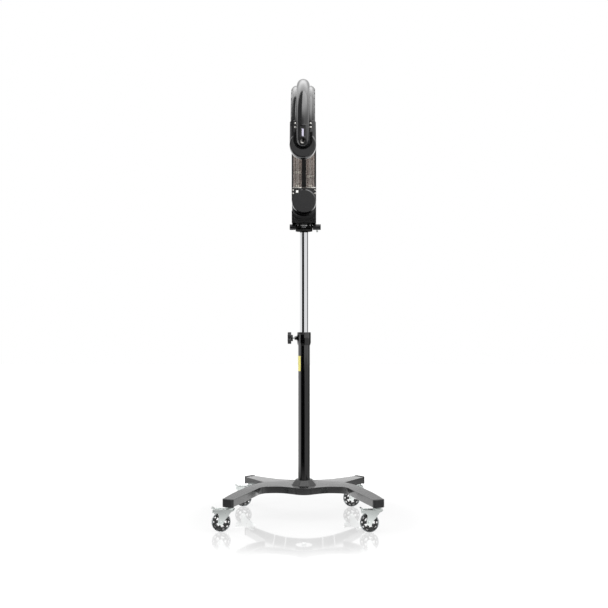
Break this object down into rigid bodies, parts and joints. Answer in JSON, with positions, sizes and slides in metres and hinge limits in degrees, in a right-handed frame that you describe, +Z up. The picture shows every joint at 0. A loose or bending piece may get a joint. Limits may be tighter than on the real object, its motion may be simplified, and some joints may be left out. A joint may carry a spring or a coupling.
{
  "type": "hair color processor",
  "caption": "Infrared hair color processor: a hooked heater arm on a swinging hub, on a height-adjustable column with a four-legged caster base.",
  "frame": {"origin": "on the floor, under the axis of the column", "axes": "+Z up along the column, +X to the right of someone who faces the arm's control end, +Y from that control end towards the hub's back"},
  "size_m": [0.68, 0.6898, 1.7974],
  "materials": {
    "base_enamel": "satin black powder coat on a casting",
    "black_plastic": "satin moulded nylon",
    "grey_plastic": "satin moulded ABS",
    "zinc_steel": "blue zinc plate",
    "black_enamel": "gloss black enamel",
    "nylon": "natural nylon",
    "chrome_tube": "polished chrome plate",
    "bright_chrome": "polished chrome plate",
    "dark_steel": "black oxide",
    "gloss_black": "gloss moulded ABS",
    "brass_gear": "machined brass",
    "board_green": "solder mask",
    "switch_red": "translucent rocker",
    "reflector_foil": "bright anodised sheet",
    "quartz": "quartz glass",
    "ceramic_white": "steatite",
    "guard_steel": "nickel-plated wire",
    "light_lens": "diffusing lens",
    "window_white": "opal window",
    "dial_black": "gloss moulded ABS",
    "wheel_black": "moulded polypropylene",
    "tyre_clear": "clear polyurethane"
  },
  "bodies": {
    "stand": {"base_frame": "base_enamel", "leg_end_caps": "black_plastic", "foot_cover": "grey_plastic", "caster_stems": "zinc_steel", "outer_column": "black_enamel", "column_bolt": "zinc_steel", "height_collar": "black_enamel", "collar_bush": "nylon"},
    "caster_front_left": {"fork_front_left": "zinc_steel"},
    "wheel_front_left": {"wheel_core_front_left": "wheel_black", "tyre_front_left": "tyre_clear"},
    "brake_front_left": {"brake_front_left": "zinc_steel"},
    "caster_front_right": {"fork_front_right": "zinc_steel"},
    "wheel_front_right": {"wheel_core_front_right": "wheel_black", "tyre_front_right": "tyre_clear"},
    "brake_front_right": {"brake_front_right": "zinc_steel"},
    "caster_back_left": {"fork_back_left": "zinc_steel"},
    "wheel_back_left": {"wheel_core_back_left": "wheel_black", "tyre_back_left": "tyre_clear"},
    "brake_back_left": {"brake_back_left": "zinc_steel"},
    "caster_back_right": {"fork_back_right": "zinc_steel"},
    "wheel_back_right": {"wheel_core_back_right": "wheel_black", "tyre_back_right": "tyre_clear"},
    "brake_back_right": {"brake_back_right": "zinc_steel"},
    "height_knob": {"height_knob": "black_plastic", "knob_screw": "zinc_steel"},
    "lift": {"inner_column": "chrome_tube", "column_guide": "nylon"},
    "swivel": {"swivel_bracket": "black_enamel", "tilt_axle": "dark_steel", "tilt_spring": "bright_chrome"},
    "tilt_knob": {"tilt_knob": "black_plastic"},
    "hub": {"tilt_yoke": "dark_steel", "hub_saddle": "gloss_black", "gearbox_housing": "gloss_black", "rear_cover": "gloss_black", "swing_bearing": "bright_chrome", "swing_motor": "zinc_steel", "control_board": "board_green", "mains_inlet": "black_plastic", "hub_screws": "bright_chrome"},
    "power_switch": {"power_switch": "switch_red"},
    "motor_pinion": {"motor_pinion": "brass_gear"},
    "arm": {"spine_tube": "gloss_black", "spine_nose": "gloss_black", "side_shell_right": "gloss_black", "side_shell_left": "gloss_black", "front_pod": "gloss_black", "root_pod": "gloss_black", "reflectors": "reflector_foil", "centre_rib": "black_plastic", "heater_tubes": "quartz", "heater_holders": "ceramic_white", "guard_wires": "guard_steel", "light_bar": "light_lens", "pilot_window": "window_white", "arm_screws": "bright_chrome", "swing_shaft": "zinc_steel", "swing_gear": "brass_gear"},
    "control_dial": {"control_dial": "dial_black"}
  },
  "joints": [
    {"name": "swivel_front_left", "type": "hinge", "parent": "stand", "child": "caster_front_left", "pos_m": [-0.292, -0.243, 0.085], "axis": [0, 0, 1], "continuous": true},
    {"name": "roll_front_left", "type": "hinge", "parent": "caster_front_left", "child": "wheel_front_left", "pos_m": [-0.324, -0.243, 0.0375], "axis": [0, 1, 0], "continuous": true},
    {"name": "pedal_front_left", "type": "hinge", "parent": "caster_front_left", "child": "brake_front_left", "pos_m": [-0.3295, -0.243, 0.079], "axis": [0, -1, 0], "range_deg": [0, 5.5]},
    {"name": "swivel_front_right", "type": "hinge", "parent": "stand", "child": "caster_front_right", "pos_m": [0.292, -0.243, 0.085], "axis": [0, 0, 1], "continuous": true},
    {"name": "roll_front_right", "type": "hinge", "parent": "caster_front_right", "child": "wheel_front_right", "pos_m": [0.26, -0.243, 0.0375], "axis": [0, 1, 0], "continuous": true},
    {"name": "pedal_front_right", "type": "hinge", "parent": "caster_front_right", "child": "brake_front_right", "pos_m": [0.2545, -0.243, 0.079], "axis": [0, -1, 0], "range_deg": [0, 5.5]},
    {"name": "swivel_back_left", "type": "hinge", "parent": "stand", "child": "caster_back_left", "pos_m": [-0.242, 0.227, 0.085], "axis": [0, 0, 1], "continuous": true},
    {"name": "roll_back_left", "type": "hinge", "parent": "caster_back_left", "child": "wheel_back_left", "pos_m": [-0.274, 0.227, 0.0375], "axis": [0, 1, 0], "continuous": true},
    {"name": "pedal_back_left", "type": "hinge", "parent": "caster_back_left", "child": "brake_back_left", "pos_m": [-0.2795, 0.227, 0.079], "axis": [0, -1, 0], "range_deg": [0, 5.5]},
    {"name": "swivel_back_right", "type": "hinge", "parent": "stand", "child": "caster_back_right", "pos_m": [0.242, 0.227, 0.085], "axis": [0, 0, 1], "continuous": true},
    {"name": "roll_back_right", "type": "hinge", "parent": "caster_back_right", "child": "wheel_back_right", "pos_m": [0.21, 0.227, 0.0375], "axis": [0, 1, 0], "continuous": true},
    {"name": "pedal_back_right", "type": "hinge", "parent": "caster_back_right", "child": "brake_back_right", "pos_m": [0.2045, 0.227, 0.079], "axis": [0, -1, 0], "range_deg": [0, 5.5]},
    {"name": "height_clamp", "type": "hinge", "parent": "stand", "child": "height_knob", "pos_m": [-0.05, 0, 0.757], "axis": [-1, 0, 0], "range_deg": [0, 360]},
    {"name": "height_slide", "type": "slide", "parent": "stand", "child": "lift", "axis": [0, 0, 1], "range_m": [-0.4, 0.1]},
    {"name": "head_swivel", "type": "hinge", "parent": "lift", "child": "swivel", "pos_m": [0, 0, 1.205], "axis": [0, 0, 1], "range_deg": [-170, 170]},
    {"name": "tilt_clamp", "type": "hinge", "parent": "swivel", "child": "tilt_knob", "pos_m": [0.05, 0, 1.227], "axis": [1, 0, 0], "range_deg": [0, 90]},
    {"name": "head_tilt", "type": "hinge", "parent": "swivel", "child": "hub", "pos_m": [0, 0, 1.227], "axis": [1, 0, 0], "range_deg": [-20, 35]},
    {"name": "mains_rocker", "type": "hinge", "parent": "hub", "child": "power_switch", "pos_m": [0.022, 0.113, 1.271], "axis": [1, 0, 0], "range_deg": [0, 16]},
    {"name": "arm_swing", "type": "hinge", "parent": "hub", "child": "arm", "pos_m": [0, 0, 1.333], "axis": [0, 1, 0], "range_deg": [-90, 90]},
    {"name": "pinion_turn", "type": "hinge", "parent": "hub", "child": "motor_pinion", "pos_m": [0, 0.06, 1.288], "axis": [0, 1, 0], "range_deg": [-361, 361]},
    {"name": "dial_turn", "type": "hinge", "parent": "arm", "child": "control_dial", "pos_m": [0, -0.41, 1.509], "axis": [0, -1, 0], "range_deg": [-150, 150]}
  ],
  "couplings": [
    {"joint": "pinion_turn", "follows": "arm_swing", "ratio": -4}
  ]
}
